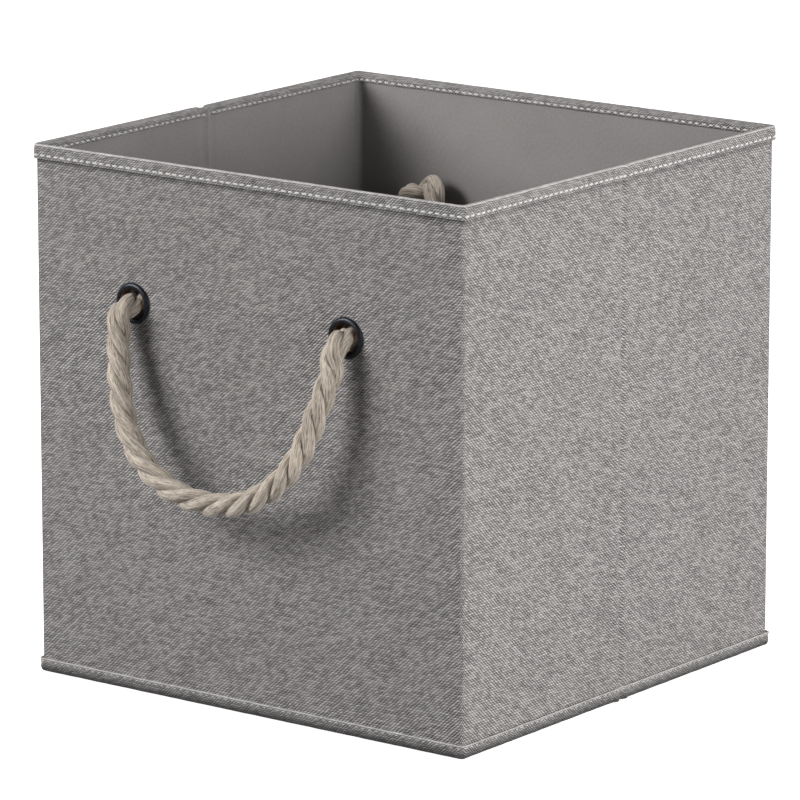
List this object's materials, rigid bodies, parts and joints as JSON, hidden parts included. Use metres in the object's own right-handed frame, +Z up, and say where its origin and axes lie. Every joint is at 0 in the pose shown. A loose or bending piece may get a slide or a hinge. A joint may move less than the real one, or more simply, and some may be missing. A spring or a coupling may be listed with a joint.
{
  "type": "fabric storage bin",
  "caption": "Square soft storage bin of stiffened grey twill with bound edges, eyelets and knotted rope handles; its side walls crease inwards so that it folds.",
  "frame": {"origin": "on the floor under the middle of the bin", "axes": "+Z up, +X to the right side, -Y to the front wall"},
  "size_m": [0.276, 0.3404, 0.28],
  "materials": {
    "twill": "heathered grey twill, matte",
    "binding": "folded strip of the same twill with light lockstitching",
    "lining": "plain grey lining cloth, matte",
    "board": "grey chipboard stiffener, hidden",
    "pad": "soft pad covered in the lining cloth",
    "eyelet": "blackened steel with a copper coloured bore",
    "rope": "natural three-strand laid rope"
  },
  "bodies": {
    "back_wall": {"back_cover": "twill", "back_board": "board", "back_lining": "lining", "back_rim_binding": "binding", "back_base_binding": "binding", "bottom_cloth": "twill", "base_pad": "pad", "back_left_eyelet": "eyelet", "back_left_washer": "eyelet", "back_left_knot": "rope", "back_right_eyelet": "eyelet", "back_right_washer": "eyelet", "back_right_knot": "rope"},
    "right_rear_panel": {"right_rear_cover": "twill", "right_rear_board": "board", "right_rear_lining": "lining", "right_rear_rim_binding": "binding", "right_rear_base_binding": "binding"},
    "right_front_panel": {"right_front_cover": "twill", "right_front_board": "board", "right_front_lining": "lining", "right_front_rim_binding": "binding", "right_front_base_binding": "binding"},
    "front_wall": {"front_cover": "twill", "front_board": "board", "front_lining": "lining", "front_rim_binding": "binding", "front_base_binding": "binding", "front_left_eyelet": "eyelet", "front_left_washer": "eyelet", "front_left_knot": "rope", "front_right_eyelet": "eyelet", "front_right_washer": "eyelet", "front_right_knot": "rope"},
    "left_rear_panel": {"left_rear_cover": "twill", "left_rear_board": "board", "left_rear_lining": "lining", "left_rear_rim_binding": "binding", "left_rear_base_binding": "binding"},
    "left_front_panel": {"left_front_cover": "twill", "left_front_board": "board", "left_front_lining": "lining", "left_front_rim_binding": "binding", "left_front_base_binding": "binding"},
    "front_handle": {"front_handle_rope": "rope"},
    "back_handle": {"back_handle_rope": "rope"}
  },
  "joints": [
    {"name": "fold", "type": "hinge", "parent": "back_wall", "child": "right_rear_panel", "pos_m": [0.1312, 0.1302, 0.14], "axis": [0, 0, -1], "range_deg": [0, 60], "deforming": ["bottom_cloth", "base_pad"]},
    {"name": "right_crease", "type": "hinge", "parent": "right_rear_panel", "child": "right_front_panel", "pos_m": [0.138, 0, 0.14], "axis": [0, 0, 1], "range_deg": [0, 120]},
    {"name": "right_front_corner", "type": "hinge", "parent": "right_front_panel", "child": "front_wall", "pos_m": [0.1312, -0.1302, 0.14], "axis": [0, 0, -1], "range_deg": [0, 60]},
    {"name": "left_front_corner", "type": "hinge", "parent": "front_wall", "child": "left_front_panel", "pos_m": [-0.1312, -0.1302, 0.14], "axis": [0, 0, -1], "range_deg": [0, 60]},
    {"name": "left_crease", "type": "hinge", "parent": "left_front_panel", "child": "left_rear_panel", "pos_m": [-0.138, 0, 0.14], "axis": [0, 0, 1], "range_deg": [0, 120]},
    {"name": "front_handle_swing", "type": "hinge", "parent": "front_wall", "child": "front_handle", "pos_m": [-0.004, -0.1484, 0.2015], "axis": [-1, 0, 0], "range_deg": [-12, 160]},
    {"name": "back_handle_swing", "type": "hinge", "parent": "back_wall", "child": "back_handle", "pos_m": [-0.004, 0.1484, 0.2015], "axis": [1, 0, 0], "range_deg": [-12, 160]}
  ],
  "couplings": [
    {"joint": "right_crease", "follows": "fold", "ratio": 2},
    {"joint": "right_front_corner", "follows": "fold", "ratio": 1},
    {"joint": "left_front_corner", "follows": "fold", "ratio": 1},
    {"joint": "left_crease", "follows": "fold", "ratio": 2}
  ]
}
